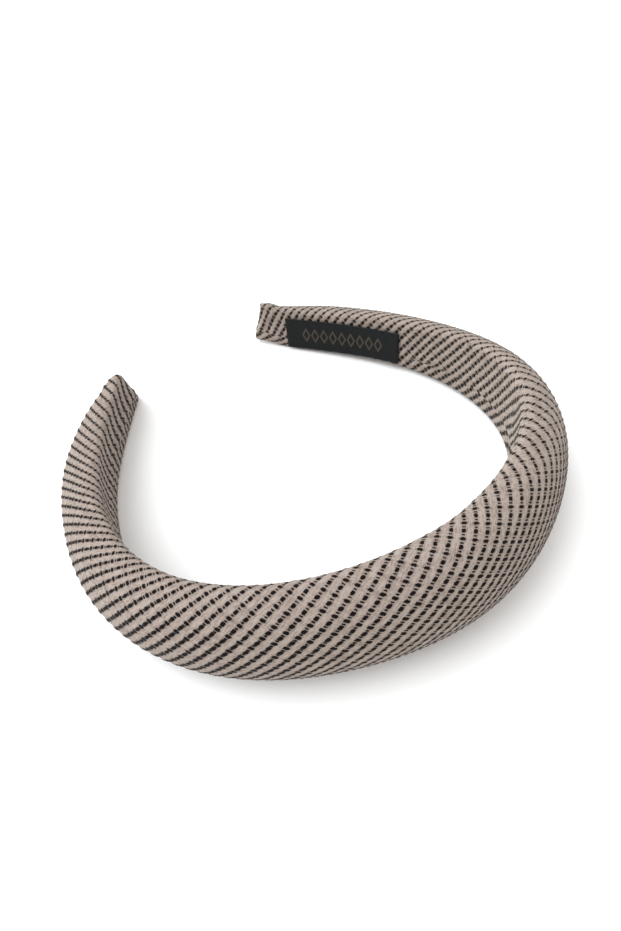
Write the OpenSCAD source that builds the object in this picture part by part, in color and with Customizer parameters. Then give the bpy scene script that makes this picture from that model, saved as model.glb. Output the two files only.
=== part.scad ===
// Padded headband. A hard curved band carries a foam pad, and one bias-cut piece of checked
// cloth wraps both, turns in onto the flat inner face and is folded in at the two ends.
// A woven label is sewn to the inner face near the right end.
//
// Frame: millimetres, +Z up. The band lies on its lower side edge, as it rests on a table,
// with the crown towards -Y, the two ends towards +Y and the left arm on -X. The origin is
// the middle of the bounding box's bottom.

/* [Band] */
// Length of the whole band along its inner face, from end to end
band_len = 372; // [320:1:450]
// Width of the padding at the crown
crown_w = 30.5; // [25:0.5:38]
// Thickness of the padding at the crown
crown_t = 18; // [14:0.5:21]
// Width of the band at its ends
tip_w = 17.5; // [14:0.5:21]
// Thickness of the band at its ends
tip_t = 6.2; // [5:0.1:8]
// Rounding of the edges where the cloth turns onto the inner face, at the crown. It gets
// smaller with the thickness.
edge_r = 2; // [1:0.1:3]

/* [Folded ends] */
// Length of the folded cloth at each end
fold_len = 7; // [6.5:0.5:9]
// How far the folded cloth stands out all round, past the band beside it
fold_step = 0.2; // [0.1:0.1:0.6]
// How far the folded cloth sits above the middle of the band
fold_rise = 0.8; // [0:0.1:1.2]
// How far the lower corners of both ends reach past the band's length
past_end = 4.5; // [0:0.5:6]
// How far the upper corner of the left end stops short of it
short_left = 5; // [0:0.5:5]

/* [Label] */
// Length of the label
label_len = 50; // [35:1:60]
// Height of the label, across the band
label_h = 13.5; // [9:0.5:14]
// Thickness of the label
label_t = 0.5; // [0.3:0.1:0.8]
// From the end of the band to the label
label_start = 11.5; // [10:0.5:30]
// From the lower edge of the inner face to the label
label_margin = 0.1; // [0:0.1:1]
// Gap between the label and the cloth under it
label_gap = 0.1; // [0.05:0.05:0.3]

/* [Hidden] */

cloth_colour = "#b9aea4";
fold_colour = "#a89d93";
label_colour = "#15151a";

// Half of the band, from the middle of the crown to an end
arm = band_len / 2;

// How the band bends and tapers, a row for each section of an arm.
// Columns: place along the arm (0 crown, 1 end); turning rate of the inner face, in degrees
// per arm; share of the extra width and of the extra thickness that the crown has over an end.
PLACE = 0;
TURN = 1;
WIDE = 2;
THICK = 3;
sections = [
    [0,    131, 1,    1],
    [0.2,  140, 0.96, 0.8],
    [0.4,  234, 0.78, 0.68],
    [0.6,  128, 0.4,  0.65],
    [0.75, 72,  0.22, 0.73],
    [0.88, 22,  0.15, 0.53],
    [1,    0,   0,    0],
];
last_row = len(sections) - 1;

// Shape of a folded end, a row for each ring. Columns: place along the fold (0 at the band,
// 1 at the very end), share of its width, share of its thickness.
fold_rows = [
    [0,    1,    1],
    [0.5,  1,    1],
    [0.8,  0.99, 0.93],
    [0.93, 0.95, 0.78],
    [1,    0.88, 0.52],
];

// Fineness: steps in half the route, rings along the whole band, points round the dome,
// round each turned edge and across the inner face, rings along the label
route_steps = 240;
band_rings = 80;
dome_steps = 20;
edge_steps = 3;
face_steps = 4;
label_rings = 12;

// Smooth curve through one column of the sections. It is level at the crown, and elsewhere
// it leaves each row along the chord between its neighbours.
function row_at(s, i = 0) = i >= last_row - 1 || s <= sections[i + 1][PLACE] ? i : row_at(s, i + 1);
function rate(a, b, col) = (sections[b][col] - sections[a][col]) / (sections[b][PLACE] - sections[a][PLACE]);
function slope(i, col) = i == 0 ? 0 : rate(i - 1, min(i + 1, last_row), col);
function along(s, col) =
    let (
        i = row_at(s),
        gap = sections[i + 1][PLACE] - sections[i][PLACE],
        u = (s - sections[i][PLACE]) / gap,
        u2 = u * u,
        u3 = u2 * u
    )
    (2 * u3 - 3 * u2 + 1) * sections[i][col]
    + (u3 - 2 * u2 + u) * gap * slope(i, col)
    + (3 * u2 - 2 * u3) * sections[i + 1][col]
    + (u3 - u2) * gap * slope(i + 1, col);

// Route of the inner face along one arm, by small steps: [x, y, heading in degrees]
route = [
    for (
        i = 0, p = [0, 0, 0];
        i <= route_steps;
        i = i + 1,
        turned = (along((i - 1) / route_steps, TURN) + along(min(i, route_steps) / route_steps, TURN))
            / 2 / route_steps,
        step = arm / route_steps,
        middle = p[2] + turned / 2,
        p = [p[0] + step * cos(middle), p[1] + step * sin(middle), p[2] + turned]
    ) p
];

// Place on the route at s, from -1 at the left end to 1 at the right end. The point lies
// out from the inner face, and across the band.
function on_route(s) =
    let (
        k = abs(s) * route_steps,
        i = min(floor(k), route_steps - 1)
    )
    route[i] + (k - i) * (route[i + 1] - route[i]);
function place(s, across, out) =
    let (
        p = on_route(s),
        side = s < 0 ? -1 : 1
    )
    [side * (p[0] + sin(p[2]) * out), p[1] - cos(p[2]) * out, across];

function width_at(s) = tip_w + (crown_w - tip_w) * along(abs(s), WIDE);
function thick_at(s) = tip_t + (crown_t - tip_t) * along(abs(s), THICK);
function edge_at(s) = edge_r * thick_at(s) / crown_t;

// Section of the padding: half an ellipse over a flat inner face with two turned edges.
// Points are [across, out] and run from the upper edge over the dome to the lower edge.
function section(w, t) =
    let (
        r = edge_r * t / crown_t,
        half = w / 2,
        flat = half - r
    )
    concat(
        [for (k = [0:dome_steps]) let (a = 180 * k / dome_steps) [half * cos(a), r + (t - r) * sin(a)]],
        [for (k = [1:edge_steps]) let (a = 180 + 90 * k / edge_steps) [r * cos(a) - flat, r + r * sin(a)]],
        [for (k = [1:face_steps]) [flat * (2 * k / face_steps - 1), 0]],
        [for (k = [1:edge_steps - 1]) let (a = 270 + 90 * k / edge_steps) [flat + r * cos(a), r + r * sin(a)]]
    );

// Ring of points at s, with its outline moved up the band by rise and out of it by lift. Its
// upper and lower corners can reach further along the arm, so that the ring is cut aslant.
function ring(s, w, t, rise = 0, lift = 0, reach = [0, 0]) = [
    for (p = section(w, t))
        let (
            height = 2 * p[0] / w,
            further = (reach[0] * (1 + height) + reach[1] * (1 - height)) / 2
        )
        place(s + sign(s) * further / arm, p[0] + rise, p[1] + lift)
];
joint_at = 1 - fold_len / arm;
band_points = [
    for (k = [0:band_rings])
        let (s = joint_at * (2 * k / band_rings - 1))
        each ring(s, width_at(s), thick_at(s))
];
fold_w = width_at(joint_at) + 2 * fold_step;
fold_t = thick_at(joint_at) + 2 * fold_step;
function fold_points(side) = [
    for (row = fold_rows)
        let (
            s = joint_at + row[0] * (1 - joint_at),
            t = fold_t * row[2],
            reach = row[0] * [side < 0 ? -short_left : 0, past_end]
        )
        each ring(side * s, fold_w * row[1], t, fold_rise, (thick_at(joint_at) - t) / 2, reach)
];

// How the band lies: tipped until its lower edge touches the table at the shoulders and at
// both ends, then moved to stand over the origin. The first list holds each ring's lowest
// point before that, and the second the points that can touch at an end.
band_low = [
    for (k = [0:band_rings / 2])
        let (s = joint_at * 2 * k / band_rings)
        place(s, -width_at(s) / 2, edge_at(s))
];
end_low = concat([band_low[band_rings / 2]], fold_points(1));
function lean_to(e) = max([for (p = band_low) if (p[1] < e[1] / 2) atan2(e[2] - p[2], e[1] - p[1])]);
lean = min([for (e = end_low) lean_to(e)]);
function leaned(p) = [p[0], p[1] * cos(lean) + p[2] * sin(lean), p[2] * cos(lean) - p[1] * sin(lean)];
outline = [for (p = concat(band_points, fold_points(1))) leaned(p)];
low_z = min([for (p = outline) p[2]]);
mid_y = (min([for (p = outline) p[1]]) + max([for (p = outline) p[1]])) / 2;
module laid() {
    translate([0, -mid_y, -low_z])
        rotate([-lean, 0, 0])
            children();
}

// Closed skin over rings of n points each
function skin_faces(rings, n) = concat(
    [
        for (i = [0:rings - 2], j = [0:n - 1])
            let (
                a = i * n + j,
                b = i * n + (j + 1) % n
            )
            each [[a, b, b + n], [a, b + n, a + n]]
    ],
    [for (j = [1:n - 2]) [0, j + 1, j]],
    [for (j = [1:n - 2]) [(rings - 1) * n, (rings - 1) * n + j, (rings - 1) * n + j + 1]]
);
function flipped(faces) = [for (f = faces) [for (k = [len(f) - 1:-1:0]) f[k]]];
module skin(points, n, flip = false) {
    faces = skin_faces(len(points) / n, n);
    polyhedron(points, flip ? flipped(faces) : faces, convexity = 6);
}
ring_size = len(section(tip_w, tip_t));

module padded_band() {
    color(cloth_colour)
        laid()
            skin(band_points, ring_size);
}

module fold(side) {
    color(fold_colour)
        laid()
            skin(fold_points(side), ring_size, side < 0);
}

module fold_left() {
    fold(-1);
}

module fold_right() {
    fold(1);
}

// The label follows the inner face, with its lower edge along the face's own edge
label_s0 = 1 - (label_start + label_len) / arm;
label_s1 = 1 - label_start / arm;
label_low = label_margin - (width_at(label_s1) / 2 - edge_at(label_s1));
label_points = [
    for (k = [0:label_rings])
        let (s = label_s0 + (label_s1 - label_s0) * k / label_rings)
        for (p = [[0, 0], [0, 1], [1, 1], [1, 0]])
            place(s, label_low + label_h * p[0], -label_gap - label_t * p[1])
];
module label() {
    color(label_colour)
        laid()
            skin(label_points, 4);
}

padded_band();
fold_left();
fold_right();
label();
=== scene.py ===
# %% [markdown]
# # A padded headband in checked cloth
# The real thing is a hard curved band with a deep foam pad, wrapped all round in one piece of
# light cloth. The cloth is cut on the bias, so its dark dashed lines run slantwise round the
# pad. The solids come ready-made from the construction model. This script gives them their
# cloth, folds and light.

# %% Load the construction model
import math
from functools import partial

import bmesh
import bpy
import numpy as np
from mathutils import Matrix, Vector


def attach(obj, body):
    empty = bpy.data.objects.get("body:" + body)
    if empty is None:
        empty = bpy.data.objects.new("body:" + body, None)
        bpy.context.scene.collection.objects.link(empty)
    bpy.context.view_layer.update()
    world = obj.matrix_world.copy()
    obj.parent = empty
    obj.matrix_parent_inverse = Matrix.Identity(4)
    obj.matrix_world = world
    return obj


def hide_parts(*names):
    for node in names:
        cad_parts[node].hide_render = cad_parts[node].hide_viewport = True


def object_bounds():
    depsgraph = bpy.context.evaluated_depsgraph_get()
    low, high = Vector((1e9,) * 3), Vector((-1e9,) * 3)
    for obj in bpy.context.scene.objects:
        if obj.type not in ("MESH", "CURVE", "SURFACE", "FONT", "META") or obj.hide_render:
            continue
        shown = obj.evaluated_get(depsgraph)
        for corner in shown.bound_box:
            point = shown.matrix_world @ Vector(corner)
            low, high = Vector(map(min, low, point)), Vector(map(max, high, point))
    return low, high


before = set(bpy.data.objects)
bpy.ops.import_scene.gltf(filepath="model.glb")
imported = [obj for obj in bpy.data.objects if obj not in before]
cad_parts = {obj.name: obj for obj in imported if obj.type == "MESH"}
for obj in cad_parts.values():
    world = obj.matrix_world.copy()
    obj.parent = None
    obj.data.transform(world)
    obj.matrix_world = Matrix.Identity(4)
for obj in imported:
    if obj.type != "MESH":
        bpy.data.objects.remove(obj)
cad_low, cad_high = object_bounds()
MM = 0.001
print("solid model, mm:", [round(c / MM, 1) for c in cad_high - cad_low])

# %% [markdown]
# ## The band's route and section
# The construction model bends and tapers the band by a short table, a row for each section
# of one arm. The same table is used here, so that the modelled cloth lies on the solid. A
# curve object with a bevel could follow the route too, but it has one section all the way,
# and this band changes from 30 mm wide at the crown to 17 mm at its ends.

# %% Sizes of the band, in millimetres
BAND_LEN = 372
CROWN_W = 30.5
CROWN_T = 18
TIP_W = 17.5
TIP_T = 6.2
EDGE_R = 2
FOLD_LEN = 7
ARM = BAND_LEN / 2
JOINT_AT = 1 - FOLD_LEN / ARM
print("an arm is", ARM, "mm long, and its folded end starts at", round(JOINT_AT, 3), "of it")

# %% How the band bends and tapers
# Columns: place along the arm (0 crown, 1 end), turning rate in degrees per arm, share of
# the crown's extra width, share of its extra thickness
SECTIONS = np.array([
    [0, 131, 1, 1],
    [0.2, 140, 0.96, 0.8],
    [0.4, 234, 0.78, 0.68],
    [0.6, 128, 0.4, 0.65],
    [0.75, 72, 0.22, 0.73],
    [0.88, 22, 0.15, 0.53],
    [1, 0, 0, 0],
])
PLACE, TURN, WIDE, THICK = range(4)


def along(s, column):
    """A column of the table as a smooth curve, at places s from 0 to 1."""
    x, y = SECTIONS[:, PLACE], SECTIONS[:, column]
    slope = np.zeros(len(x))
    slope[1:-1] = (y[2:] - y[:-2]) / (x[2:] - x[:-2])
    slope[-1] = (y[-1] - y[-2]) / (x[-1] - x[-2])
    i = np.clip(np.searchsorted(x, s) - 1, 0, len(x) - 2)
    gap = x[i + 1] - x[i]
    u = (s - x[i]) / gap
    return ((2 * u**3 - 3 * u**2 + 1) * y[i] + (u**3 - 2 * u**2 + u) * gap * slope[i]
            + (3 * u**2 - 2 * u**3) * y[i + 1] + (u**3 - u**2) * gap * slope[i + 1])


def width_at(s):
    return TIP_W + (CROWN_W - TIP_W) * along(np.minimum(abs(s), 1), WIDE)


def depth_at(s):
    return TIP_T + (CROWN_T - TIP_T) * along(np.minimum(abs(s), 1), THICK)


half_way = width_at(0.5), depth_at(0.5)
print("half way along an arm, mm:", round(half_way[0], 1), "wide,", round(half_way[1], 1), "thick")

# %% Walk the route in small steps, turning a little at each
STEPS = 240
walk = np.linspace(0, 1, STEPS + 1)
turn = along(walk, TURN)
heading = np.radians(np.concatenate([[0], np.cumsum((turn[1:] + turn[:-1]) / 2 / STEPS)]))
mid_heading = (heading[1:] + heading[:-1]) / 2
route_x = np.concatenate([[0], np.cumsum(np.cos(mid_heading))]) * ARM / STEPS
route_y = np.concatenate([[0], np.cumsum(np.sin(mid_heading))]) * ARM / STEPS


def on_band(s, across, out):
    """A point at s, from -1 (left end) to 1, out from the inner face and across the band.
    Past the ends the band goes straight on."""
    a = abs(s)
    side = -1 if s < 0 else 1
    x, y, h = (np.interp(a, walk, column) for column in (route_x, route_y, heading))
    x, y = x + math.cos(h) * max(0, a - 1) * ARM, y + math.sin(h) * max(0, a - 1) * ARM
    return Vector((side * (x + math.sin(h) * out), y - math.cos(h) * out, across)) * MM


print("end of the inner face, mm:", round(route_x[-1], 1), round(route_y[-1], 1))

# %% [markdown]
# ## Camera
# The camera was worked out together with the band's form, so that the drawn outline falls on
# the photographed one. A camera can also be placed by eye, but a band that is seen from so
# near shows every wrong degree. It stands only about 190 mm from the middle of the band, and
# that makes the crown look so much larger than the ends. The lens only frames it.

# %% Camera
CAMERA_PLACE = Vector((-74.9, -113.2, 137.1)) * MM
CAMERA_AZIMUTH = -33.73
CAMERA_ELEVATION = 45.32
CAMERA_ROLL = -4.73
CAMERA_LENS = 21.42
NEAREST_SEEN = 5 * MM


def camera_axes(azimuth, elevation, roll):
    """The camera's right, up and back directions, as the columns of a matrix."""
    a, e, r = (math.radians(v) for v in (azimuth, elevation, roll))
    back = Vector((math.sin(a) * math.cos(e), -math.cos(a) * math.cos(e), math.sin(e)))
    level = Vector((math.cos(a), math.sin(a), 0))
    up = back.cross(level)
    right = math.cos(r) * level + math.sin(r) * up
    return Matrix((right, back.cross(right), back)).transposed()


camera = bpy.data.objects.new("camera", bpy.data.cameras.new("camera"))
bpy.context.scene.collection.objects.link(camera)
turned = camera_axes(CAMERA_AZIMUTH, CAMERA_ELEVATION, CAMERA_ROLL)
camera.matrix_world = Matrix.Translation(CAMERA_PLACE) @ turned.to_4x4()
camera.data.lens = CAMERA_LENS
camera.data.clip_start = NEAREST_SEEN
bpy.context.scene.camera = camera
print("camera to the middle of the band, mm:", round(CAMERA_PLACE.length / MM))

# %% [markdown]
# ## Floor and light
# The picture has a plain white ground and soft light that comes from above on the left. A
# sun lamp with a wide angle gives that: it lights the floor evenly to the far edge, which a
# nearby area lamp can't, and its wide angle keeps the shadows soft. The pale world colour
# fills in the rest, as the walls of a bright room do.

# %% A pale floor
FLOOR_SIZE = 40
FLOOR_COLOUR = (0.92, 0.92, 0.92, 1)
FLOOR_ROUGHNESS = 0.9
FLOOR_GLOSS = 0.1


def new_object(name, mesh):
    piece = bpy.data.objects.new(name, mesh)
    bpy.context.scene.collection.objects.link(piece)
    return piece


def mesh_from(shape, name):
    """A mesh with the bmesh's shape. The bmesh is freed."""
    mesh = bpy.data.meshes.new(name)
    shape.to_mesh(mesh)
    shape.free()
    return mesh


def new_material(name):
    """A material with its node tree and its Principled shader."""
    material = bpy.data.materials.new(name)
    material.use_nodes = True
    return material, material.node_tree, material.node_tree.nodes["Principled BSDF"]


floor_material, _, shader = new_material("pale_floor")
shader.inputs["Base Color"].default_value = FLOOR_COLOUR
shader.inputs["Roughness"].default_value = FLOOR_ROUGHNESS
shader.inputs["Specular IOR Level"].default_value = FLOOR_GLOSS
sheet = bmesh.new()
bmesh.ops.create_grid(sheet, x_segments=1, y_segments=1, size=FLOOR_SIZE / 2)
floor = new_object("floor", mesh_from(sheet, "floor"))
floor.data.materials.append(floor_material)
print("floor:", FLOOR_SIZE, "m across")

# %% Lamp and room light
SUN_FROM = (-0.50, 0.45, 0.74)
SUN_POWER = 3.3
SUN_SPREAD = 70
SUN_COLOUR = (0.91, 0.965, 1)
ROOM_LIGHT = 1.02
ROOM_COLOUR = (1, 0.985, 0.965, 1)

sun_data = bpy.data.lights.new("window", "SUN")
sun_data.energy = SUN_POWER
sun_data.angle = math.radians(SUN_SPREAD)
sun_data.color = SUN_COLOUR
sun = new_object("window", sun_data)
sun.rotation_euler = Vector(SUN_FROM).to_track_quat("Z", "Y").to_euler()
room = bpy.data.worlds.new("room")
room.use_nodes = True
room.node_tree.nodes["Background"].inputs["Color"].default_value = ROOM_COLOUR
room.node_tree.nodes["Background"].inputs["Strength"].default_value = ROOM_LIGHT
bpy.context.scene.world = room
bpy.context.scene.view_settings.view_transform = "Standard"
steepness = math.degrees(math.asin(Vector(SUN_FROM).normalized().z))
print("the window's light comes down at", round(steepness), "degrees")

# %% [markdown]
# ## Wrapping the pad
# On the real band a flat strip of cloth is laid over the foam, and its two long edges are
# glued down on the inner face. The mesh is made the same way. A flat grid is the strip, each
# of its points is laid on the band, and the two long edges are merged at the seam. A sweep
# along a curve would also give the shape, but the strip keeps what the pattern needs: how
# far along and how far round each point lies.

# %% Outline of the section, started at the seam
SEAM_SHARE = -0.55
SOFT_EDGE = 3
ARC_POINTS = 24


def arc(centre, radii, start, end):
    """Points on part of an ellipse, with angles in degrees."""
    t = np.radians(np.linspace(start, end, ARC_POINTS))
    return np.stack([centre[0] + radii[0] * np.cos(t), centre[1] + radii[1] * np.sin(t)], 1)


def run(points):
    """The distance to each point, along the line through them."""
    return np.concatenate([[0], np.cumsum(np.linalg.norm(np.diff(points, axis=0), axis=1))])


def outline(width, depth):
    """Points (across, out) from the seam up the inner face, over the dome and back, and the
    distance to each from the dome's top."""
    edge = SOFT_EDGE * depth / CROWN_T
    half = width / 2
    flat = half - edge
    seam = [[flat * SEAM_SHARE, 0]]
    points = np.concatenate([
        seam,
        arc((flat, edge), (edge, edge), -90, 0),
        arc((0, edge), (half, depth - edge), 0, 180)[1:],
        arc((-flat, edge), (edge, edge), 180, 270)[1:],
        seam,
    ])
    length = run(points)
    return points, length - length[np.argmax(points[:, 1])]


points, length = outline(CROWN_W, CROWN_T)
print("girth at the crown, mm:", round(length[-1] - length[0], 1))

# %% Points at even distances round the section
RINGS = 124
GIRTH = 36


def ridge(width, depth, edge_r):
    """Distance round from the dome's top to the middle of a turned edge."""
    half, edge = width / 2, edge_r * depth / CROWN_T
    return run(arc((0, 0), (half, depth - edge), 0, 90))[-1] + edge * math.pi / 4


def round_section(width, depth, share):
    """The point at a share (0 to 1) of the way round, and its distance from the dome's top.
    Subdivision pulls a coarse ring inwards where it bends, so each point is first moved out
    by as much. The distance is stretched a little, to what it is on the solid's section."""
    points, length = outline(width, depth)
    total = length[-1] - length[0]
    far = length[0] + share * total
    before, here, after = (
        np.array([np.interp(far + step, length, points[:, k], period=total) for k in (0, 1)])
        for step in (-total / GIRTH, 0, total / GIRTH)
    )
    across, out = here - (before - 2 * here + after) / 6
    return across, out, far * ridge(width, depth, EDGE_R) / ridge(width, depth, SOFT_EDGE)


step = (length[-1] - length[0]) / GIRTH
print("points round the crown are", round(step, 1), "mm apart")

# %% A flat strip, laid round the band
MERGE_WITHIN = 0.01 * MM


def wrapped_strip(stations, rounds, at):
    """A grid wrapped round the band. at(place, share) gives the point and the map's (along,
    round), and past a folded end a second map, which the faces that close the end take."""
    strip = bmesh.new()
    lay = strip.loops.layers.uv.new("lay")
    bmesh.ops.create_grid(strip, x_segments=stations, y_segments=rounds, size=0.5)
    placed = {v: at(v.co.x * 2, v.co.y + 0.5) for v in strip.verts}
    for face in strip.faces:
        which = min(len(placed[v]) for v in face.verts) - 1
        for loop in face.loops:
            loop[lay].uv = placed[loop.vert][which]
    for vertex, given in placed.items():
        vertex.co = given[0]
    bmesh.ops.remove_doubles(strip, verts=strip.verts, dist=MERGE_WITHIN)
    bmesh.ops.holes_fill(strip, edges=[e for e in strip.edges if e.is_boundary], sides=0)
    bmesh.ops.recalc_face_normals(strip, faces=strip.faces)
    return strip


# %% The pad's coarse cage
# Its ends go on a little under the folded ends
TUCKED_UNDER = 1.5
PAD_END = JOINT_AT + TUCKED_UNDER / ARM
# How far in mm the joint with each folded end stands past its measure, at the upper and at
# the lower corner, from this share of the pad onwards
JOINT_TRIM = {-1: (-4.5, 0), 1: (0, -2.5)}
TRIM_FROM = 0.88


def trimmed(trim, share, shrunk=1.0):
    """A trim in mm at this share of the way round, on a section shrunk towards its middle."""
    height = 2 * round_section(TIP_W, TIP_T, share)[0] / TIP_W * shrunk
    return (trim[0] * (1 + height) + trim[1] * (1 - height)) / 2


def on_pad(place, share):
    s = place * PAD_END
    side = -1 if s < 0 else 1
    near_end = max(0, (abs(place) - TRIM_FROM) / (1 - TRIM_FROM)) ** 2
    s += side * near_end * trimmed(JOINT_TRIM[side], share) / ARM
    across, out, far = round_section(width_at(s), depth_at(s), share)
    return on_band(s, across, out), (s * ARM, far)


cage = wrapped_strip(RINGS, GIRTH, on_pad)
open_edges = sum(e.is_boundary for e in cage.edges)
print("cage:", len(cage.verts), "points,", open_edges, "open edges")

# %% [markdown]
# ## How the band lies
# The band lies on its lower edge, so it tips until that edge touches the floor at the
# shoulders and beside the two ends. It could be turned by hand until it looks right, but a
# gap under an edge shows at once in its shadow. So the tilt is worked out: it is the steepest
# line from the end's lowest point to a low point nearer the crown.

# %% Tilt and place
EDGE_PLACES = 81
low_points = []
for s in np.linspace(0, JOINT_AT, EDGE_PLACES):
    edge = EDGE_R * depth_at(s) / CROWN_T
    low_points.append(on_band(s, -width_at(s) / 2, edge))
end_low = low_points[-1]
nearer = [p for p in low_points if p.y < end_low.y / 2]
LEAN = max(math.atan2(end_low.z - p.z, end_low.y - p.y) for p in nearer)
tilt = Matrix.Rotation(-LEAN, 4, "X")
tilted = [tilt @ v.co for v in cage.verts]
drop_y = cad_low.y - min(p.y for p in tilted)
drop_z = cad_low.z - min(p.z for p in tilted)
LAID = Matrix.Translation((0, drop_y, drop_z)) @ tilt
moved_mm = round(drop_y / MM, 2), round(drop_z / MM, 2)
print("tilt", round(math.degrees(LEAN), 2), "degrees, moved", *moved_mm, "mm")

# %% [markdown]
# ## Foam under the cloth
# The foam pushes the cloth out, and the glue holds it back on the inner face. Moving each
# point along its normal would be simpler, but it moves all of them alike, and real cloth lets
# one place give while the next one holds. Blender's cloth simulation does that: a copy of the
# cage starts a little inside its drawn place, and pressure pushes it out until it is taut. The
# simulation works best on things a metre or more across, so the copy is fifty times as large,
# and each point's move is scaled back and capped. Only the coarse cage is simulated, because
# the fine mesh would be slow.

# %% Read a mesh as lists of numbers
def coordinates(mesh, kind="co"):
    flat = np.zeros(len(mesh.vertices) * 3)
    mesh.vertices.foreach_get(kind, flat)
    return flat.reshape(-1, 3)


def corner_points(mesh):
    """The point under each corner of the mesh's faces."""
    corner = np.zeros(len(mesh.loops), int)
    mesh.loops.foreach_get("vertex_index", corner)
    return corner


def laid_at(mesh):
    """The map's (along, round) for each corner of the mesh."""
    lay = np.zeros(len(mesh.loops) * 2)
    mesh.uv_layers["lay"].data.foreach_get("uv", lay)
    return lay.reshape(-1, 2)


def per_point(mesh, per_corner):
    """One row of values for each point, from rows for each corner. Where the corners differ,
    the row is kept whose first value is nearest to 0."""
    order = np.argsort(-np.abs(per_corner[:, 0]), kind="stable")
    values = np.zeros((len(mesh.vertices), per_corner.shape[1]))
    values[corner_points(mesh)[order]] = per_corner[order]
    return values


cage_mesh = mesh_from(cage, "padded_cloth")
a, r = per_point(cage_mesh, laid_at(cage_mesh)).T
print("the cage reaches, mm:", round(a.max(), 1), "along an arm,", round(r.max(), 1), "round")

# %% Glue the inner face and the two ends
GLUE_FADE = 4
END_GLUE_FROM = 0.9
END_GLUE_RISE = 15
ridge_places = np.linspace(0, ARM, 61)
ridge_lengths = [ridge(width_at(p / ARM), depth_at(p / ARM), EDGE_R) for p in ridge_places]


def past_edge(a, r):
    """How far a point lies past the middle of the turned edge, towards the inner face."""
    return np.abs(r) - np.interp(np.abs(a), ridge_places, ridge_lengths)


end_glue = np.clip((np.abs(a) / ARM - END_GLUE_FROM) * END_GLUE_RISE, 0, 1)
held = np.clip((past_edge(a, r) + GLUE_FADE) / GLUE_FADE + end_glue, 0, 1)
print("glued points:", int((held == 1).sum()), "of", len(held))

# %% Swell a copy of the cage
BLOW_UP = 50
SLACK = 0.8 * MM
MOST_MOVE = 0.5 * MM
MOMENTS = 20
ON_DOME = -6


def swell(mesh, held):
    """Moves of the mesh's points, in the end, by pressure on a copy that starts inside. held
    is how firmly each point is glued."""
    start, normal = coordinates(mesh), coordinates(mesh, "normal")
    slack = start - normal * SLACK * (1 - held)[:, None]
    trial_mesh = mesh.copy()
    trial_mesh.vertices.foreach_set("co", (slack * BLOW_UP).ravel())
    trial = new_object("trial", trial_mesh)
    glue = trial.vertex_groups.new(name="glue")
    for index, firmness in enumerate(held):
        glue.add([index], float(firmness), "REPLACE")
    pressing = trial.modifiers.new("pressing", "CLOTH")
    settings = pressing.settings
    settings.quality = 6
    settings.mass = 0.3
    settings.use_pressure = True
    settings.uniform_pressure_force = 4
    settings.vertex_group_mass = "glue"
    settings.effector_weights.gravity = 0
    pressing.point_cache.frame_end = MOMENTS
    for moment in range(1, MOMENTS + 1):
        bpy.context.scene.frame_set(moment)
    pressed = trial.evaluated_get(bpy.context.evaluated_depsgraph_get()).to_mesh()
    moved = coordinates(pressed) / BLOW_UP - start
    bpy.context.scene.frame_set(1)
    bpy.data.objects.remove(trial)
    size = np.linalg.norm(moved, axis=1, keepdims=True)
    return moved * np.minimum(1, MOST_MOVE / np.maximum(size, 1e-9))


moved = swell(cage_mesh, held)
outward = (moved * coordinates(cage_mesh, "normal")).sum(1) / MM
on_dome = past_edge(a, r) < ON_DOME
print("the dome ends up", -round(outward[on_dome].mean(), 2), "mm inside its drawn place")
cage_mesh.vertices.foreach_set("co", (coordinates(cage_mesh) + moved).ravel())
pad = new_object("padded_cloth", cage_mesh)

# %% Subdivide and lay it on the floor
LEVELS = 3


def subdivided(piece):
    """The piece's mesh, subdivided and laid as the band lies."""
    smooth = piece.modifiers.new("smooth", "SUBSURF")
    smooth.levels = smooth.render_levels = LEVELS
    bpy.context.view_layer.update()
    seen = piece.evaluated_get(bpy.context.evaluated_depsgraph_get())
    fine = bpy.data.meshes.new_from_object(seen)
    piece.modifiers.clear()
    piece.data = fine
    fine.name = piece.name
    fine.transform(LAID)
    return fine


fine = subdivided(pad)
print("fine mesh:", len(fine.vertices), "points")

# %% [markdown]
# ## Counting the cloth's lines
# The cloth has dark lines one way and thin dark threads the other way. The pull of wrapping
# spreads and turns them from place to place. Two short tables say how close the lines and
# the threads lie, per metre of band, and walking over them counts the lines up. The counts
# go into the UV map, so a whole number is always the middle of a dark line. A texture on
# plain coordinates could not follow the cloth round the bend.

# %% Tables of the lines' closeness
# Columns: place along the band from the crown in mm; count per metre along it; count per
# metre across the inner face; then counts per metre across the dome, at these distances
# from its middle line, minus being upwards
ACROSS_AT = np.array([-24, -16, -12, -8, 0, 14])
DARK_LINES = np.array([
    [-190, 300, 0, 240, 250, 275, 280, 300, 280],
    [-160, 240, 0, 290, 290, 290, 285, 290, 280],
    [-140, 260, 0, 400, 355, 315, 295, 255, 280],
    [-120, 280, 0, 415, 395, 340, 290, 210, 280],
    [-100, 315, 60, 355, 350, 295, 245, 185, 280],
    [-80, 335, 150, 350, 295, 240, 220, 235, 280],
    [-60, 315, 220, 335, 260, 240, 270, 265, 280],
    [-40, 270, 230, 315, 265, 280, 315, 325, 280],
    [-20, 255, 230, 260, 275, 335, 365, 325, 280],
    [0, 250, 230, 235, 285, 410, 440, 400, 280],
    [20, 165, 200, 190, 265, 440, 455, 455, 280],
    [40, 170, 190, 135, 155, 300, 450, 450, 280],
    [60, 190, 190, 140, 70, 70, 215, 420, 280],
    [66, 280, 190, 160, 95, 95, 210, 380, 280],
    [75, 310, 190, 190, 130, 130, 200, 330, 280],
    [90, 300, 200, 220, 190, 190, 210, 280, 270],
    [110, 265, 220, 245, 245, 245, 245, 250, 250],
    [125, 245, 200, 245, 245, 245, 245, 250, 250],
    [190, 245, 130, 245, 245, 245, 245, 250, 250],
])
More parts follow.
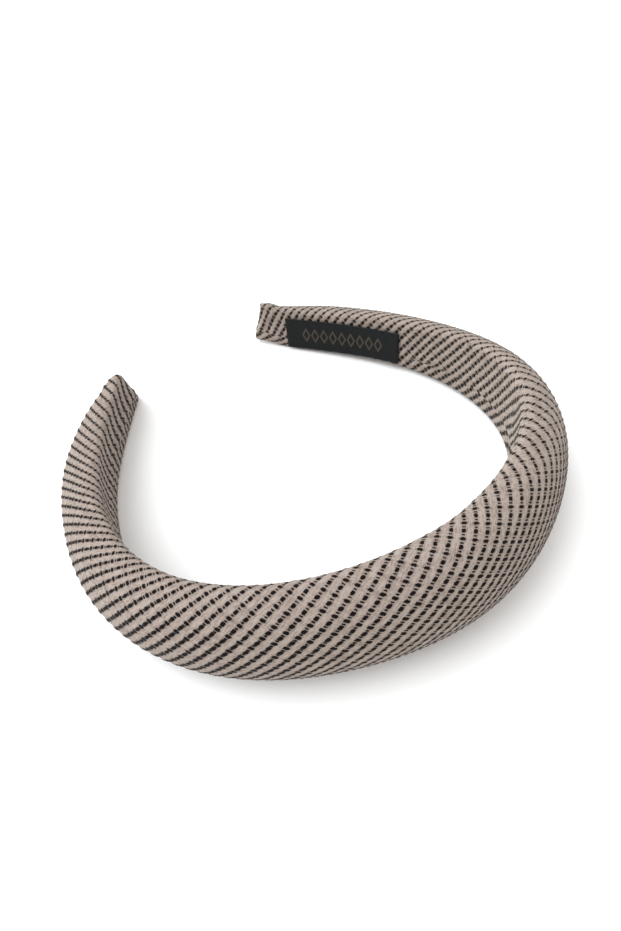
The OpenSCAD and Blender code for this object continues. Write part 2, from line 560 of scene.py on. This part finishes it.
THREADS = np.array([
    [-190, 170, -230, -210, -210, -230, -250, -250, -210],
    [-100, 175, -230, -200, -200, -250, -290, -290, -210],
    [-60, 170, -200, -180, -175, -240, -290, -285, -210],
    [-40, 160, -190, -175, -170, -215, -255, -265, -210],
    [-20, 150, -190, -180, -175, -200, -225, -230, -210],
    [0, 155, -190, -165, -170, -195, -225, -240, -210],
    [20, 165, -190, -180, -165, -175, -200, -240, -210],
    [40, 155, -190, -200, -185, -170, -185, -270, -210],
    [60, 160, -190, -190, -190, -175, -165, -290, -210],
    [120, 160, -190, -190, -190, -190, -190, -190, -210],
    [190, 160, -190, -190, -190, -190, -190, -190, -210],
])
print("a dark line every", round(1000 / DARK_LINES[:, 1].mean(), 1), "mm of band, on average")

# %% Walk over a table and count
# The count at the crown is taken at this distance from the dome's middle line
COUNT_FROM = -10
FIRST_LINE = 0.68
FIRST_THREAD = 0.86
PAST_TABLE = 15
ROUND_REACH = 60
ROUND_STEPS = 480
TURN_OVER = 2


def running_sum(values, step):
    """Sum of values as they are passed, with steps of one size."""
    return np.concatenate([[0], np.cumsum((values[1:] + values[:-1]) / 2 * step)])


def past_ridge(a, r):
    """The distance past the turned edge with a soft start, and with the sign of r."""
    return np.sign(r) * TURN_OVER * np.logaddexp(0, past_edge(a, r) / TURN_OVER)


def counter(table, first):
    """A function that counts lines at (along, round), both in mm."""
    ends = (table[0, 0] - PAST_TABLE, table[-1, 0] + PAST_TABLE)
    alongs = np.linspace(*ends, int(ends[1] - ends[0]) + 1)
    rounds = np.linspace(-ROUND_REACH, ROUND_REACH, ROUND_STEPS + 1)
    per_mm = [np.interp(alongs, table[:, 0], column / 1000) for column in table[:, 1:].T]
    base = running_sum(per_mm[0], alongs[1] - alongs[0])
    base += first - np.interp(0, alongs, base)
    counts = []
    for row, start in zip(np.stack(per_mm[2:], 1), base):
        passed = running_sum(np.interp(rounds, ACROSS_AT, row), rounds[1] - rounds[0])
        counts.append(start + passed - np.interp(COUNT_FROM, rounds, passed))
    counts = np.array(counts)

    def count(a, r):
        past = past_ridge(a, r)
        inner = past * np.interp(a, table[:, 0], table[:, 2] / 1000)
        i = np.clip((a - alongs[0]) / (alongs[1] - alongs[0]), 0, len(alongs) - 1.001)
        j = np.clip((r - past - rounds[0]) / (rounds[1] - rounds[0]), 0, len(rounds) - 1.001)
        i0, j0 = i.astype(int), j.astype(int)
        u, v = i - i0, j - j0
        here = (1 - u) * (1 - v) * counts[i0, j0] + u * (1 - v) * counts[i0 + 1, j0]
        beside = (1 - u) * v * counts[i0, j0 + 1] + u * v * counts[i0 + 1, j0 + 1]
        return inner + here + beside

    return count


count_lines = counter(DARK_LINES, FIRST_LINE)
count_threads = counter(THREADS, FIRST_THREAD)
two_ends = count_lines(np.array([-ARM, ARM]), np.zeros(2))
print("dark lines from end to end, along the dome's middle:", round(np.ptp(two_ends)))

# %% Closeness of the lines and threads
# For the lines and for the threads: the usual count per mm, and how much more or less of the
# space the floats fill on the inner face, partly as pressed cloth and partly as painted shade,
# and on the left arm, as painted light
USUAL = (0.36, 0.26)
CLOSER_AND_SHADED_INSIDE = (0.42, 0.1)
PAINTED_LIGHT_LEFT = (0.16, 0)
LEFT_FROM = 35
LEFT_FADE = 75
INSIDE_FADE = 2
LEAST_AND_MOST = (0.85, 1.5)


def closeness(count, a, r, usual, closer_and_shaded, painted_light):
    """How close the lines lie, as a share of the usual count per mm. The floats keep their
    size in mm, so where the lines lie close, the floats fill more of the space between them.
    The floats are also drawn wider on the inner face, which lies inside the bend: partly
    because the cloth is pressed together there, and partly as painted shade that darkens that
    face. Over the outside of the left arm they are drawn narrower, which is painted light that
    makes that arm lighter."""
    change_a = count(a + 0.5, r) - count(a - 0.5, r)
    change_r = count(a, r + 0.5) - count(a, r - 0.5)
    # The inner face gets wider floats: partly the cloth pressed together there, and partly painted
    # shade that darkens the face
    inside = np.clip(past_edge(a, r) / INSIDE_FADE, 0, 1)
    # Painted light: the floats over the outside of the left arm are drawn narrower, which makes
    # that arm lighter
    lit_left = np.clip((-a - LEFT_FROM) / LEFT_FADE, 0, 1) * (1 - inside)
    share = np.clip(np.hypot(change_a, change_r) / usual, *LEAST_AND_MOST)
    return share * (1 + closer_and_shaded * inside - painted_light * lit_left)


crown_close = closeness(count_lines, np.zeros(1), np.zeros(1), USUAL[0], 0, 0)[0]
print("on top of the crown the lines lie", round(crown_close, 2), "times as close as usual")

# %% Write the counts into the UV map
# At the right end the cloth was pulled towards the lower corner before it was glued. It
# shifts the lines by this count at the corner, and fades upwards and along the band.
PULLED = 1.3
PULL_HEIGHT = 3.2
PULL_FROM = 168
PULL_FADE = 8


def write_counts(mesh, lay):
    """Puts (lines, threads) counted into the map, in place of (along, round), and writes how
    close both lie to an attribute."""
    height = coordinates(mesh)[corner_points(mesh), 2] / MM
    near_end = np.clip((lay[:, 0] - PULL_FROM) / PULL_FADE, 0, 1)
    pull = PULLED * near_end * np.exp(-height / PULL_HEIGHT)
    counts = np.stack([count_lines(*lay.T) - pull, count_threads(*lay.T)], 1)
    mesh.uv_layers["lay"].data.foreach_set("uv", counts.ravel())
    a, r = per_point(mesh, lay).T
    close = np.zeros((len(a), 3))
    for k, count in enumerate((count_lines, count_threads)):
        close[:, k] = closeness(count, a, r, USUAL[k], CLOSER_AND_SHADED_INSIDE[k], PAINTED_LIGHT_LEFT[k])
    attribute = mesh.attributes.new("closeness", "FLOAT_VECTOR", "POINT")
    attribute.data.foreach_set("vector", close.ravel())
    return counts, close


pad_lay = laid_at(fine)
pad_counts, pad_close = write_counts(fine, pad_lay)
print("dark lines over the whole pad:", int(np.ptp(pad_counts[:, 0])))

# %% [markdown]
# ## The raised dashes
# Each dark line is a row of floats, which are short runs of dark yarn on top of the cloth: a
# square where a dark thread crosses, a long dash half way, and a small stitch between them.
# They stand a little proud of the light ground. Bump in the material alone would be quicker,
# but it never shows on the outline, so the relief is modelled. Only the finer yarns are left
# to the bump.

# %% Sizes of the floats, in counts (a half size across the line and along it)
SQUARE = (0.223, 0.11)
DASH = (0.17, 0.153)
STITCH = (0.14, 0.052)
STITCH_AT = 0.245
RAISED = 0.24 * MM
STITCH_RISE = 0.6
FLOAT_TOP = 1.25
FLOAT_FALL = 0.6
RIB = 0.03 * MM
PUFF = 0.12 * MM
SUNK = 0.15 * MM


def from_whole(count):
    """Distance to the nearest whole count."""
    return np.abs(count - np.round(count))


def float_shape(across, along_line, size):
    """1 in the middle of a float, falling to 0 past its edge."""
    reach = (across / size[0]) ** 2 + (along_line / size[1]) ** 2
    return np.clip(FLOAT_TOP - FLOAT_FALL * reach, 0, 1)


def relief(lines, threads, close, puffed):
    """Height of the cloth's surface at those counts. On the inner side of a bend the cloth is
    pressed together, and puffs up between the lines."""
    across, along_line = from_whole(lines), from_whole(threads)
    square, dash, stitch = (
        float_shape(across / close[0], (along_line - middle) / close[1], size)
        for size, middle in ((SQUARE, 0), (DASH, 0.5), (STITCH, STITCH_AT))
    )
    floats = np.maximum(np.maximum(square, dash), STITCH_RISE * stitch)
    return RAISED * floats - SUNK - (RIB + PUFF * puffed) * np.cos(2 * np.pi * across)


square_mm = [round(2 * half / usual, 1) for half, usual in zip(SQUARE, USUAL)]
print("a square is", square_mm[0], "mm across the line and", square_mm[1], "mm along it")

# %% Gathers of the right end
CREASE = 0.45 * MM
# The fold of cloth starts at this distance from the very end and this height above the
# floor, and rises by the slope. A step straight up is CREASE_TALL times the step across it.
CREASE_FOOT = (0.9, 5.7)
CREASE_SLOPE = 1.16
CREASE_TALL = 1.53
PAST_END = 4.5
# Columns: middle in mm across the crease, half width in mm, share of the height
CREASE_HUMPS = ((0, 1.1, 1), (2.7, 1.4, -1), (-2.4, 1.1, -0.6))
EDGE_HOLLOW = (1.9, 0.7, -0.7)
# Where the gathers start and how fast they fade in: towards the crown, at the very end,
# and past the turned edge
CROWN_FADE = (10, 3)
END_FADE = (0.5, 4)
EDGE_FADE = 1.5


def hump(distance, middle, half, height):
    return height * np.exp(-((distance - middle) / half) ** 2)


def creases(mesh, a, r):
    """The gathers of the right end: a fold of cloth that runs up from the corner, with a hollow
    on either side, and a hollow along the lower edge."""
    x, y = ARM + PAST_END - a, coordinates(mesh)[:, 2] / MM
    above = y - CREASE_FOOT[1] - CREASE_SLOPE * (x - CREASE_FOOT[0])
    fold = sum(hump(above / CREASE_TALL, *row) for row in CREASE_HUMPS)
    fold = fold * np.clip((CROWN_FADE[0] - x) / CROWN_FADE[1], 0, 1) + hump(y, *EDGE_HOLLOW)
    inside = np.clip(past_edge(a, r) / EDGE_FADE, 0, 1)
    return CREASE * fold * inside * np.clip((x - END_FADE[0]) / END_FADE[1], 0, 1)


print("the crease is", 2 * CREASE_HUMPS[0][1], "mm wide and", CREASE / MM, "mm high")

# %% Raise the points
LAP = 0.35 * MM
LAP_WIDTH = 2.2
PUFF_AT_EDGE = 0.6
PUFF_FADE = 6
SEAM_STEP = 4


def seam_line(a, r):
    """The round distance at which the strip starts, along the band."""
    bins = np.round(a / SEAM_STEP).astype(int)
    places = np.unique(bins)
    return places * float(SEAM_STEP), np.array([r[bins == k].min() for k in places])


def raise_cloth(mesh, lay, counts, close, creased=False):
    """Moves the mesh's points out by the relief, the gathers and the lap at the seam."""
    a, r, lines, threads = per_point(mesh, np.hstack([lay, counts])).T
    puffed = np.clip(past_edge(a, r) / PUFF_FADE + PUFF_AT_EDGE, 0, 1)
    height = relief(lines, threads, close.T, puffed)
    if creased:
        height += creases(mesh, a, r)
    from_seam = r - np.interp(np.round(a, 1), *seam_line(a, r))
    height += LAP * np.clip(1 - np.abs(from_seam / LAP_WIDTH - 1), 0, 1) ** 0.5
    co = coordinates(mesh) + coordinates(mesh, "normal") * height[:, None]
    mesh.vertices.foreach_set("co", co.ravel())
    mesh.update()
    mesh.shade_smooth()
    return height


height = raise_cloth(fine, pad_lay, pad_counts, pad_close)
print("relief, mm:", round(height.min() / MM, 2), "to", round(height.max() / MM, 2))

# %% [markdown]
# ## The checked cloth
# The material draws the same floats in colour. It reads the counts from the map, folds them
# to the distance from the nearest whole number, and turns distances into soft-edged masks.
# An image would be quicker to place, but it has one size only, and masks stay sharp. The
# weave is a node group of its own, so that another cloth could take it with other colours.

# %% The weave group and its sockets
weave = bpy.data.node_groups.new("checked_weave", "ShaderNodeTree")
for name, way, kind in (
    ("Counts", "INPUT", "NodeSocketVector"),
    ("Closeness", "INPUT", "NodeSocketVector"),
    ("Ground", "INPUT", "NodeSocketColor"),
    ("Dark", "INPUT", "NodeSocketColor"),
    ("Color", "OUTPUT", "NodeSocketColor"),
    ("Height", "OUTPUT", "NodeSocketFloat"),
):
    weave.interface.new_socket(name=name, in_out=way, socket_type=kind)
print("weave group's sockets:", [socket.name for socket in weave.interface.items_tree])

# %% Counts that wander and fray a little
# Yarns are never quite straight. Shifts in counts, for the lines and for the threads.
WANDER = (0.10, 0.06)
WANDER_SCALE = 1.3
FRAY = (0.16, -0.10)
FRAY_SCALE = 9.0


def value_node(tree, operation, *inputs):
    """A Math node. Each input is a socket or a number."""
    node = tree.nodes.new("ShaderNodeMath")
    node.operation = operation
    for socket, given in zip(node.inputs, inputs):
        if isinstance(given, (int, float)):
            socket.default_value = given
        else:
            tree.links.new(given, socket)
    return node.outputs[0]


def noise(tree, vector, scale, detail=2.0):
    node = tree.nodes.new("ShaderNodeTexNoise")
    node.inputs["Scale"].default_value = scale
    node.inputs["Detail"].default_value = detail
    tree.links.new(vector, node.inputs["Vector"])
    return node.outputs["Fac"]


def parts(tree, vector):
    """The X, Y and Z of a vector, by name."""
    node = tree.nodes.new("ShaderNodeSeparateXYZ")
    tree.links.new(vector, node.inputs[0])
    return node.outputs


weave_math = partial(value_node, weave)
group_in = weave.nodes.new("NodeGroupInput")
counts = group_in.outputs["Counts"]
counted = parts(weave, counts)
wander = weave_math("SUBTRACT", noise(weave, counts, WANDER_SCALE), 0.5)
fray = weave_math("SUBTRACT", noise(weave, counts, FRAY_SCALE, 1.0), 0.5)
shifted = []
for k, axis in enumerate("XY"):
    value = weave_math("ADD", counted[axis], weave_math("MULTIPLY", wander, WANDER[k]))
    shifted.append(weave_math("ADD", value, weave_math("MULTIPLY", fray, FRAY[k])))
close = parts(weave, group_in.outputs["Closeness"])
across = weave_math("DIVIDE", weave_math("PINGPONG", shifted[0], 0.5), close["X"])
along_line = weave_math("PINGPONG", shifted[1], 0.5)
print("nodes that read the counts:", len(weave.nodes))

# %% Masks of the floats
# The edge of a float is soft between these two reaches, of which 1 is its drawn size
MASK_EDGE = (1.55, 0.7)
# A tick is the short bit of dark thread that shows beside a square, where the cloth is open
TICK = (0.065, 0.065)
TICK_AT = 0.305
TICK_EDGE = (1.5, 0.4)
TICK_OPEN = (1.2, 0.95)
TICK_DARKNESS = 0.5


def ramp(tree, value, low, high):
    """0 below low and 1 above high, with a smooth step between. low may be the greater."""
    node = tree.nodes.new("ShaderNodeMapRange")
    node.interpolation_type = "SMOOTHSTEP"
    node.inputs["From Min"].default_value = low
    node.inputs["From Max"].default_value = high
    tree.links.new(value, node.inputs["Value"])
    return node.outputs["Result"]


def float_mask(size, middle):
    """1 inside a float and 0 outside it."""
    wide = weave_math("POWER", weave_math("DIVIDE", across, size[0]), 3.0)
    gap = weave_math("ABSOLUTE", weave_math("SUBTRACT", along_line, middle))
    gap = weave_math("DIVIDE", gap, close["Y"])
    long = weave_math("POWER", weave_math("DIVIDE", gap, size[1]), 3.0)
    return ramp(weave, weave_math("ADD", wide, long), *MASK_EDGE)


square, dash, stitch = (
    float_mask(size, middle)
    for size, middle in ((SQUARE, 0.0), (DASH, 0.5), (STITCH, STITCH_AT))
)
from_tick = weave_math("ABSOLUTE", weave_math("SUBTRACT", across, TICK_AT))
beside_square = weave_math("POWER", weave_math("DIVIDE", from_tick, TICK[0]), 2.0)
on_thread = weave_math("POWER", weave_math("DIVIDE", along_line, TICK[1]), 2.0)
tick = ramp(weave, weave_math("ADD", beside_square, on_thread), *TICK_EDGE)
openness = weave_math("MULTIPLY", ramp(weave, close["X"], *TICK_OPEN), TICK_DARKNESS)
tick = weave_math("MULTIPLY", tick, openness)
large_floats = weave_math("MAXIMUM", square, dash)
floats = weave_math("MAXIMUM", large_floats, weave_math("MAXIMUM", stitch, tick))
print("nodes with the masks:", len(weave.nodes))

# %% Yarns of the light ground
# Each yarn is a little lighter or darker than its neighbours. Columns: yarns to a count, how
# fast the shade changes along a yarn, share in the shade.
LINE_YARNS = (9.0, 2.2, 1.3)
THREAD_YARNS = (13.0, 1.6, 0.7)
SLUB_SCALE = 0.8
YARN_SHARE = 0.8
SLUB_SHARE = 0.4


def yarns(across_yarns, along_yarns, fineness, change, share):
    """A shade that changes fast from yarn to yarn, and slowly along each one."""
    place = weave.nodes.new("ShaderNodeCombineXYZ")
    weave.links.new(weave_math("MULTIPLY", across_yarns, fineness), place.inputs["X"])
    weave.links.new(weave_math("MULTIPLY", along_yarns, change), place.inputs["Y"])
    return weave_math("MULTIPLY", noise(weave, place.outputs["Vector"], 1.0, 3.0), share)


both = weave_math(
    "ADD",
    yarns(counted["X"], counted["Y"], *LINE_YARNS),
    yarns(counted["Y"], counted["X"], *THREAD_YARNS),
)
slub = weave_math("MULTIPLY", noise(weave, counts, SLUB_SCALE), SLUB_SHARE)
shade = weave_math("ADD", weave_math("MULTIPLY", both, YARN_SHARE), slub)
print("nodes with the yarns:", len(weave.nodes))

# %% Colour, painted shade beside the lines, and height of the weave
DEEPER_YARN = (0.115, 0.077, 0.060, 1)
# The colour beside the lines is painted shade: the ground next to each dark line is darkened where
# the raised floats would shade it
SHADE_BESIDE_LINE = (0.145, 0.110, 0.092, 1)
DEEPER_SHARE = 0.62
DEEPER_EDGE = (1.15, 0.75)
SHADE_BESIDE_SHARE = 0.42
SHADE_BESIDE_EDGE = (0.34, 0.12)
YARN_HEIGHT = 0.5
FLOAT_HEIGHT = 0.7


def mix_colour(tree, factor, first, second):
    """A colour mix. The factor is a socket or a number, and the colours are sockets or four
    numbers."""
    node = tree.nodes.new("ShaderNodeMix")
    node.data_type = "RGBA"
    for name, given in (("Factor", factor), ("A", first), ("B", second)):
        if isinstance(given, (float, tuple)):
            node.inputs[name].default_value = given
        else:
            tree.links.new(given, node.inputs[name])
    return node.outputs["Result"]


light = group_in.outputs["Ground"]
deeper = mix_colour(weave, DEEPER_SHARE, light, DEEPER_YARN)
ground = mix_colour(weave, ramp(weave, shade, *DEEPER_EDGE), light, deeper)
# Painted shade beside each dark line, where the raised floats stand over the ground. It reaches
# further where the lines lie close, as on the inner face
beside = weave_math("MULTIPLY", ramp(weave, across, *SHADE_BESIDE_EDGE), SHADE_BESIDE_SHARE)
ground = mix_colour(weave, beside, ground, SHADE_BESIDE_LINE)
group_out = weave.nodes.new("NodeGroupOutput")
colour = mix_colour(weave, floats, ground, group_in.outputs["Dark"])
weave.links.new(colour, group_out.inputs["Color"])
yarn_height = weave_math("MULTIPLY", both, YARN_HEIGHT)
float_height = weave_math("MULTIPLY", floats, FLOAT_HEIGHT)
bump_height = weave_math("ADD", yarn_height, float_height)
weave.links.new(bump_height, group_out.inputs["Height"])
print("weave group:", len(weave.nodes), "nodes")

# %% Cloth material
GROUND_COLOUR = (0.328, 0.276, 0.242, 1)
DARK_COLOUR = (0.0045, 0.0027, 0.0023, 1)
CLOTH_FINISH = {
    "Roughness": 0.85,
    "Specular IOR Level": 0.06,
    "Sheen Weight": 0.06,
    "Sheen Roughness": 0.5,
}
CLOTH_BUMP = (0.12 * MM, 0.6)


def add_bump(tree, shader, height, distance, strength):
    """Small relief in the material. The distance is its full height."""
    bump = tree.nodes.new("ShaderNodeBump")
    bump.inputs["Distance"].default_value = distance
    bump.inputs["Strength"].default_value = strength
    tree.links.new(height, bump.inputs["Height"])
    tree.links.new(bump.outputs["Normal"], shader.inputs["Normal"])


def map_node(tree):
    """The piece's own map."""
    node = tree.nodes.new("ShaderNodeUVMap")
    node.uv_map = "lay"
    return node.outputs["UV"]


cloth, tree, shader = new_material("checked_cloth")
group = tree.nodes.new("ShaderNodeGroup")
group.node_tree = weave
group.inputs["Ground"].default_value = GROUND_COLOUR
group.inputs["Dark"].default_value = DARK_COLOUR
tree.links.new(map_node(tree), group.inputs["Counts"])
attribute = tree.nodes.new("ShaderNodeAttribute")
attribute.attribute_name = "closeness"
tree.links.new(attribute.outputs["Vector"], group.inputs["Closeness"])
tree.links.new(group.outputs["Color"], shader.inputs["Base Color"])
add_bump(tree, shader, group.outputs["Height"], *CLOTH_BUMP)
for name, value in CLOTH_FINISH.items():
    shader.inputs[name].default_value = value
fine.materials.clear()
fine.materials.append(cloth)
print("cloth material:", len(tree.nodes), "nodes, one of them the weave group")

# %% [markdown]
# ## Folded ends
# At each end the cloth is folded in over the tip of the hard band and glued, so that the end
# is a little thicker than the band beside it. A loft between drawn sections would give the
# shape, but not the pattern. So it is the same strip again, with rings that shrink to a slit.
# The two ends aren't folded quite alike: the cloth is cut by hand, and the lower corner
# reaches further than the upper one.

# %% Sizes of the folded ends
# Columns: share of the way along the fold, share of its width, share of its depth
FOLD_ROWS = np.array([
    [-0.15, 0.96, 0.90],
    [0, 0.995, 0.99],
    [0.12, 1, 1],
    [0.45, 1, 1],
    [0.72, 1, 0.97],
    [0.86, 0.99, 0.90],
    [0.94, 0.975, 0.78],
    [0.985, 0.95, 0.62],
    [1, 0.91, 0.45],
    [1.003, 0.65, 0.30],
    [1.003, 0.35, 0.15],
    [1.003, 0.08, 0.03],
])
# For the left end (-1) and the right end (1), in mm: how far its upper and its lower corner
# stand past the measure; how far the cloth stands out all round, and how far it sits up
END_TRIM = {-1: (-6.0, 4.5), 1: (0.3, 5.6)}
STEP_AND_RISE = {-1: (0.06, 0), 1: (0.15, 1.4)}
slants = [trim[1] - trim[0] for trim in END_TRIM.values()]
print("the lower corners reach", round(slants[0], 1), "and", round(slants[1], 1), "mm further")

# %% Where the cloth that closes an end comes from
tip_ring = np.array([round_section(TIP_W, TIP_T, share) for share in np.linspace(0.1, 0.9, 81)])
dome = tip_ring[tip_ring[:, 1] > EDGE_R * TIP_T / CROWN_T]
dome = dome[np.argsort(dome[:, 0])]


def over_the_end(across, out):
    """How far the cloth has come over the end, and its distance round. It is turned over
    from the dome towards the inner face."""
    come = np.interp(across, dome[:, 0], dome[:, 1]) - out
    return come, np.interp(across, dome[:, 0], dome[:, 2])


print("over the middle of the end the cloth comes", round(over_the_end(0, 0)[0], 1), "mm")


# %% Wrap the folds
def fold_strip(side):
    """The strip that closes the left (-1) or the right (1) end."""
    step, rise = STEP_AND_RISE[side]
    rows = range(len(FOLD_ROWS))

    def on_fold(place, share):
        row = (place + 1) / 2 * (len(FOLD_ROWS) - 1)
        k, wide, deep = (np.interp(row, rows, column) for column in FOLD_ROWS.T)
        joint = JOINT_AT + trimmed(JOINT_TRIM[side], share, wide) / ARM
        end = 1 + trimmed(END_TRIM[side], share, wide) / ARM
        s = joint + k * (end - joint)
        full_w, full_t = width_at(s) + 2 * step, depth_at(s) + 2 * step
        across, out, far = round_section(full_w * wide, full_t * deep, share)
        out += full_t * (1 - deep) / 2 - step
        point = on_band(side * s, across + rise * min(1, max(0, k) * 2), out)
        if k < 1:
            return point, (side * s * ARM, far)
        come, beside = over_the_end(across, out)
        return point, (side * s * ARM, far), (side * (s * ARM + come), beside)

    return wrapped_strip(2 * (len(FOLD_ROWS) - 1), GIRTH, on_fold)


folds = {}
for side, name in ((-1, "fold_left_cloth"), (1, "fold_right_cloth")):
    folds[side] = new_object(name, mesh_from(fold_strip(side), name))
    fold = subdivided(folds[side])
    lay = laid_at(fold)
    raise_cloth(fold, lay, *write_counts(fold, lay), creased=side > 0)
    fold.materials.clear()
    fold.materials.append(cloth)
    print(name, len(fold.vertices), "points")

# %% [markdown]
# ## Woven label
# The label is a strip of black satin ribbon, glued to the inner face near the right end, and
# it follows the band's bend. A thin box would look stiff, so it is a fine grid with a
# thickness, and its edges lift a little where the cloth under it puffs.

# %% Shape the label
LABEL_LEN = 50
LABEL_H = 13.5
LABEL_T = 0.45
LABEL_START = 11.5
LABEL_MARGIN = 0.1
LABEL_GAP = 0.32
RIBBON_T = 0.25 * MM
EDGE_WAVE = 0.12
WAVE_TURN = 0.55
WAVE_WIDTH = 3
THIN_RIM = 0.8
FACES_PER_MM = 2

label_end = 1 - LABEL_START / ARM
label_low = LABEL_MARGIN - (width_at(label_end) / 2 - EDGE_R * depth_at(label_end) / CROWN_T)
ribbon = bmesh.new()
lay = ribbon.loops.layers.uv.new("lay")
columns, rows = int(LABEL_LEN * FACES_PER_MM), int(LABEL_H * FACES_PER_MM)
bmesh.ops.create_grid(ribbon, x_segments=columns, y_segments=rows, size=0.5)
for face in ribbon.faces:
    for loop in face.loops:
        x, y = loop.vert.co.xy
        loop[lay].uv = ((x + 0.5) * LABEL_LEN, (y + 0.5) * LABEL_H)
for v in ribbon.verts:
    x, y = (v.co.x + 0.5) * LABEL_LEN, (v.co.y + 0.5) * LABEL_H
    rim = min(x, LABEL_LEN - x, y, LABEL_H - y)
    wave = EDGE_WAVE * math.sin(x * WAVE_TURN) * (1 - min(rim / WAVE_WIDTH, 1))
    thick = LABEL_T * (1 - 0.5 * max(0, 1 - rim / THIN_RIM) ** 2)
    out = -LABEL_GAP - thick - abs(wave)
    v.co = on_band(label_end - (LABEL_LEN - x) / ARM, label_low + y, out)
bmesh.ops.recalc_face_normals(ribbon, faces=ribbon.faces)
bmesh.ops.solidify(ribbon, geom=ribbon.faces, thickness=RIBBON_T)
label_mesh = mesh_from(ribbon, "woven_label")
label_mesh.transform(LAID)
label_mesh.shade_smooth()
label = new_object("woven_label", label_mesh)
print("label:", len(label_mesh.vertices), "points")

# %% [markdown]
# ## Satin with a row of lozenges
# Satin is black with a soft shine, and fine ribs of yarn both ways. The ornament is woven in
# with a duller thread: a row of plain lozenges. It could be raised in the mesh, but a thread
# this fine doesn't show on the outline, so colour and bump are enough.

# %% Masks on the label, in millimetres
LOZENGES_REACH = 18
LOZENGE_HALF = 2.0
LOZENGE_FLATNESS = 0.55
LINE_AT = 1.5
LINE_HALF = 0.3
LINE_SOFTNESS = 0.15
MOTIF_SHARE = 0.6

label_material, tree, shader = new_material("label_satin")
label_math = partial(value_node, tree)
label_map = map_node(tree)
place = parts(tree, label_map)
from_middle = label_math("ABSOLUTE", label_math("SUBTRACT", place["Y"], LABEL_H / 2))
from_centre = label_math("ABSOLUTE", label_math("SUBTRACT", place["X"], LABEL_LEN / 2))
lozenge = label_math(
    "ADD",
    label_math("PINGPONG", from_centre, LOZENGE_HALF),
    label_math("MULTIPLY", from_middle, LOZENGE_FLATNESS),
)
from_line = label_math("ABSOLUTE", label_math("SUBTRACT", lozenge, LINE_AT))
line = ramp(tree, from_line, LINE_HALF + LINE_SOFTNESS, LINE_HALF - LINE_SOFTNESS)
in_row = ramp(tree, from_centre, LOZENGES_REACH + 0.1, LOZENGES_REACH - 0.1)
motif = label_math("MULTIPLY", label_math("MULTIPLY", line, in_row), MOTIF_SHARE)
print("lozenges in the row:", round(LOZENGES_REACH / LOZENGE_HALF))

# %% Colour and ribs of the satin
SATIN_BLACKS = ((0.0024, 0.0030, 0.0033, 1), (0.0052, 0.0062, 0.0066, 1))
ORNAMENT_COLOUR = (0.095, 0.073, 0.047, 1)
BLACKS_SCALE = 0.8
RIB_ACROSS = 0.35
RIB_ALONG = 0.45
RIB_HEIGHT = 0.5
SATIN_BUMP = (0.05 * MM, 0.5)
SATIN_ROUGHNESS = 0.55
SATIN_GLOSS = 0.15

ribs = label_math("SINE", label_math("MULTIPLY", place["Y"], 2 * math.pi / RIB_ACROSS))
picks = label_math("SINE", label_math("MULTIPLY", place["X"], 2 * math.pi / RIB_ALONG))
black = mix_colour(tree, noise(tree, label_map, BLACKS_SCALE), *SATIN_BLACKS)
colour = mix_colour(tree, motif, black, ORNAMENT_COLOUR)
tree.links.new(colour, shader.inputs["Base Color"])
satin_height = label_math("MULTIPLY", label_math("MULTIPLY", ribs, picks), RIB_HEIGHT)
add_bump(tree, shader, label_math("ADD", satin_height, motif), *SATIN_BUMP)
shader.inputs["Roughness"].default_value = SATIN_ROUGHNESS
shader.inputs["Specular IOR Level"].default_value = SATIN_GLOSS
label_mesh.materials.append(label_material)
print("label material:", len(tree.nodes), "nodes")

# %% [markdown]
# ## Hand over the pieces
# Every piece rides on the one body, and a piece that stands for a plain solid hides it.

# %% Ride and replace
for piece, node, slot in (
    (pad, "padded_band", "checked_cloth"),
    (folds[-1], "fold_left", "checked_cloth"),
    (folds[1], "fold_right", "checked_cloth"),
    (label, "label", "label_weave"),
):
    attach(piece, "root")
    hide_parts(node)
    print(piece.name, "stands for", node)
